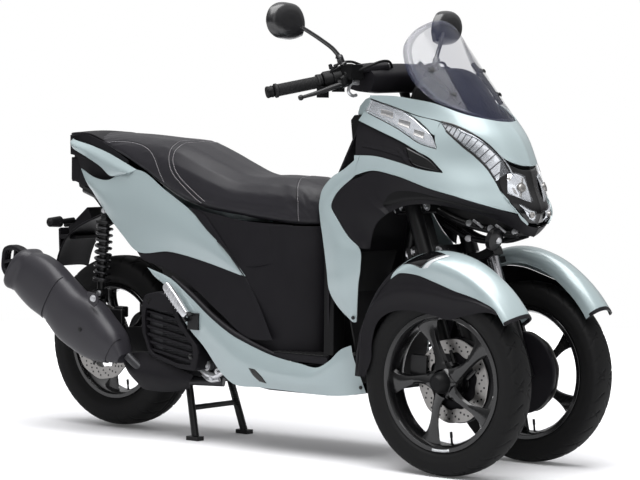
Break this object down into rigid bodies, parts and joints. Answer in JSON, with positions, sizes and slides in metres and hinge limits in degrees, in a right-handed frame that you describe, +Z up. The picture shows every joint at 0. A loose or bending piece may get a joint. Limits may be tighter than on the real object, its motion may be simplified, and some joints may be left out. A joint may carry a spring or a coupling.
{
  "type": "leaning three-wheel scooter",
  "caption": "Reverse trike scooter: two steered front wheels on leaning arms, one rear wheel, step-through floor, screen and seat, parked on its centre stand.",
  "frame": {"origin": "on the floor, midway along the length and on the middle plane", "axes": "+X forward, +Y to the rider's left, +Z up"},
  "size_m": [1.98, 0.826, 1.249],
  "materials": {
    "body_paint": "satin pale grey-green paint on moulded plastic",
    "charcoal_plastic": "grained charcoal",
    "gloss_black": "gloss black",
    "seat_cover_fabric": "dark grey grained, light stitching",
    "tyre_rubber": "matt black",
    "grip_rubber": "matt black",
    "wheel_paint": "gloss black",
    "steel_disc": "brushed",
    "frame_paint": "satin black",
    "fork_metal": "satin grey",
    "engine_metal": "cast, dark grey",
    "bright_alloy": "satin",
    "smoked_glass": "smoked clear",
    "lamp_glass": "clear",
    "red_lens": "red lens",
    "mirror_black": "black housing"
  },
  "bodies": {
    "root": {"frame": "frame_paint", "lean_arms": "frame_paint", "front_cowl": "body_paint", "nose_trim": "charcoal_plastic", "leg_shields": "body_paint", "leg_panel": "charcoal_plastic", "arch_liner": "charcoal_plastic", "windscreen": "smoked_glass", "instrument_panel": "gloss_black", "front_lamps": "lamp_glass", "intake_panels": "charcoal_plastic", "floorboard": "charcoal_plastic", "belly_pan": "charcoal_plastic", "side_skirts": "body_paint", "seat_cover": "charcoal_plastic", "side_panels": "charcoal_plastic", "tail_cowl": "body_paint", "grab_rail": "body_paint", "tail_housing": "charcoal_plastic", "rear_lamps": "red_lens", "rear_fender": "charcoal_plastic", "luggage_box": "charcoal_plastic", "engine_block": "engine_metal", "cvt_case": "engine_metal", "swing_arm": "engine_metal", "radiator_cover": "charcoal_plastic", "exhaust": "charcoal_plastic", "rear_shocks": "frame_paint", "peg_brackets": "frame_paint"},
    "seat_lid": {"seat": "seat_cover_fabric"},
    "steering": {"handlebar": "frame_paint", "grips": "grip_rubber", "bar_cover": "charcoal_plastic", "bar_controls": "gloss_black", "mirrors": "mirror_black", "brake_hoses": "grip_rubber"},
    "track_rod": {"tie_rod": "frame_paint"},
    "left_fork": {"fork_left": "fork_metal", "fender_left": "body_paint", "fender_skirt_left": "charcoal_plastic"},
    "right_fork": {"fork_right": "fork_metal", "fender_right": "body_paint", "fender_skirt_right": "charcoal_plastic"},
    "left_wheel": {"tyre_left": "tyre_rubber", "rim_left": "wheel_paint", "disc_left": "steel_disc"},
    "right_wheel": {"tyre_right": "tyre_rubber", "rim_right": "wheel_paint", "disc_right": "steel_disc"},
    "rear_wheel": {"tyre_rear": "tyre_rubber", "rim_rear": "wheel_paint", "disc_rear": "steel_disc"},
    "main_stand": {"centre_stand": "frame_paint"},
    "kick_stand": {"side_stand": "frame_paint"},
    "left_peg": {"peg_left": "bright_alloy"},
    "right_peg": {"peg_right": "bright_alloy"}
  },
  "joints": [
    {"name": "steer", "type": "hinge", "parent": "root", "child": "steering", "pos_m": [0.48029, 0, 0.9004], "axis": [-0.342, 0, 0.9397], "range_deg": [-32, 32]},
    {"name": "steer_left", "type": "hinge", "parent": "root", "child": "left_fork", "pos_m": [0.57263, 0.105, 0.64668], "axis": [-0.342, 0, 0.9397], "range_deg": [-32, 32]},
    {"name": "steer_right", "type": "hinge", "parent": "root", "child": "right_fork", "pos_m": [0.57263, -0.105, 0.64668], "axis": [-0.342, 0, 0.9397], "range_deg": [-32, 32]},
    {"name": "rod_swing", "type": "hinge", "parent": "steering", "child": "track_rod", "pos_m": [0.58832, 0, 0.77902], "axis": [-0.342, 0, 0.9397], "range_deg": [-32, 32]},
    {"name": "left_wheel_spin", "type": "hinge", "parent": "left_fork", "child": "left_wheel", "pos_m": [0.74, 0.1925, 0.25], "axis": [0, 1, 0], "continuous": true},
    {"name": "right_wheel_spin", "type": "hinge", "parent": "right_fork", "child": "right_wheel", "pos_m": [0.74, -0.1925, 0.25], "axis": [0, 1, 0], "continuous": true},
    {"name": "rear_wheel_spin", "type": "hinge", "parent": "root", "child": "rear_wheel", "pos_m": [-0.61, 0, 0.261], "axis": [0, 1, 0], "continuous": true},
    {"name": "seat_lift", "type": "hinge", "parent": "root", "child": "seat_lid", "pos_m": [0.235, 0, 0.65], "axis": [0, 1, 0], "range_deg": [0, 72]},
    {"name": "centre_stand_fold", "type": "hinge", "parent": "root", "child": "main_stand", "pos_m": [-0.27, 0, 0.175], "axis": [0, 1, 0], "range_deg": [0, 80]},
    {"name": "side_stand_swing", "type": "hinge", "parent": "root", "child": "kick_stand", "pos_m": [-0.01, 0.168, 0.19], "axis": [0, -1, 0], "range_deg": [0, 100]},
    {"name": "peg_left_fold", "type": "hinge", "parent": "root", "child": "left_peg", "pos_m": [-0.179, 0.203, 0.371], "axis": [-0.7219, 0, -0.6919], "range_deg": [0, 90]},
    {"name": "peg_right_fold", "type": "hinge", "parent": "root", "child": "right_peg", "pos_m": [-0.179, -0.203, 0.371], "axis": [0.7219, 0, 0.6919], "range_deg": [0, 90]}
  ],
  "couplings": [
    {"joint": "steer_left", "follows": "steer", "ratio": 1},
    {"joint": "steer_right", "follows": "steer", "ratio": 1},
    {"joint": "rod_swing", "follows": "steer", "ratio": -1}
  ]
}
